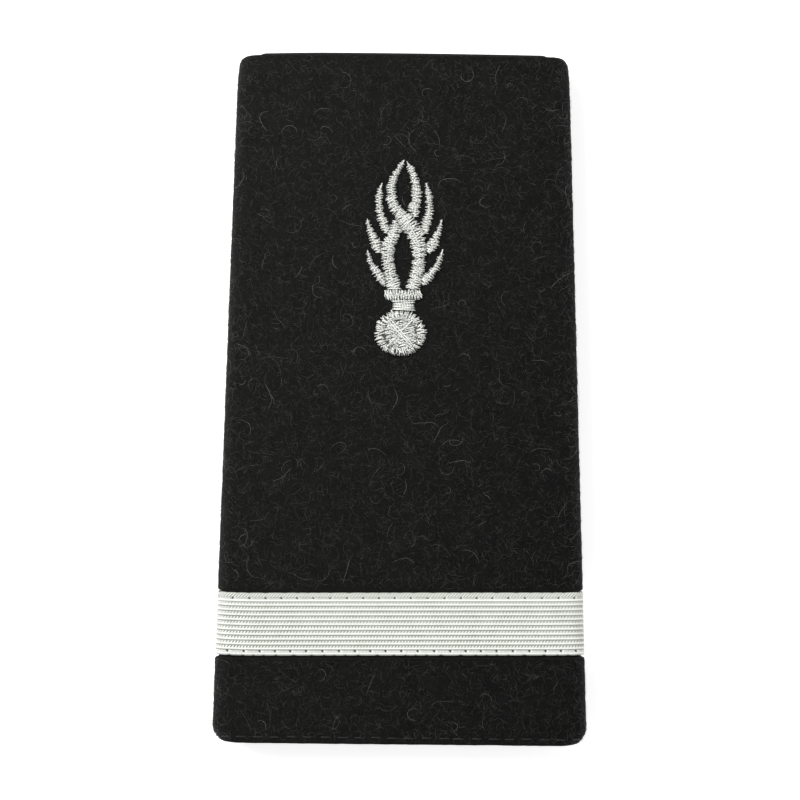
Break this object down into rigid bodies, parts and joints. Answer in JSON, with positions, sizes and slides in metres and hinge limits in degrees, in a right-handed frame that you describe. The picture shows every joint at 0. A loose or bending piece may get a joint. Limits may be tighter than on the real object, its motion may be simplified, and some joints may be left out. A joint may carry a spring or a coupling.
{
  "type": "shoulder slide",
  "caption": "Tapered felt shoulder slide with a stiffener sheet, a ribbed braid band and an embroidered flaming grenade; it slips over a shoulder strap.",
  "frame": {"origin": "below the middle of the slide's box, on the surface that it lies on", "axes": "+Y towards the narrow neck end, +Z out of the front face with the embroidery, +X to the right seen from the front"},
  "size_m": [0.0568, 0.105, 0.0095],
  "materials": {
    "felt": "black fulled wool felt with a short fuzzy nap and stray fibres",
    "stiffener_sheet": "smooth black plastic sheet",
    "braid_yarn": "silver-white ribbed woven braid with a twill edge",
    "embroidery_thread": "silver-grey satin stitch thread with a soft sheen"
  },
  "bodies": {
    "root": {"felt_cover": "felt", "stiffener": "stiffener_sheet", "braid": "braid_yarn", "grenade_ball": "embroidery_thread", "grenade_neck": "embroidery_thread", "grenade_collar": "embroidery_thread", "flame_strand": "embroidery_thread", "flame_arm_upper": "embroidery_thread", "flame_arm_lower": "embroidery_thread", "flame_tongue_left_1": "embroidery_thread", "flame_tongue_left_2": "embroidery_thread", "flame_tongue_left_3": "embroidery_thread", "flame_tongue_right_1": "embroidery_thread", "flame_tongue_right_2": "embroidery_thread", "flame_tongue_right_3": "embroidery_thread"}
  },
  "joints": []
}
